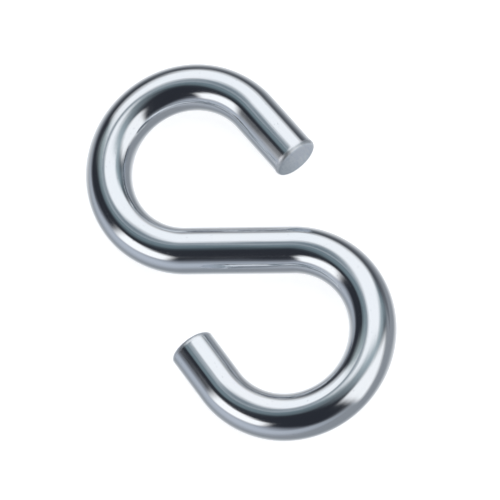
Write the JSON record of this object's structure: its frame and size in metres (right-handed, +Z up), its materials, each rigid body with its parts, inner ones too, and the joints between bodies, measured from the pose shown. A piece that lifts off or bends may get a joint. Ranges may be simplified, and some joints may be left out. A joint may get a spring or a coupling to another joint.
{
  "type": "s hook",
  "caption": "Open S hook bent from round steel wire, with an eye at each end of a straight middle bar, bright plated.",
  "frame": {"origin": "under the middle of the straight bar, on the surface that the hook lies on", "axes": "+X along the middle bar towards the lower eye, +Y towards the upper eye, +Z up from the surface; the wire's centreline lies in one plane 3 mm up"},
  "size_m": [0.0414, 0.049, 0.006],
  "materials": {
    "plated_steel": "bright zinc plate on smooth drawn wire, mirror-like, with dull sheared end faces"
  },
  "bodies": {
    "root": {"s_hook": "plated_steel"}
  },
  "joints": []
}
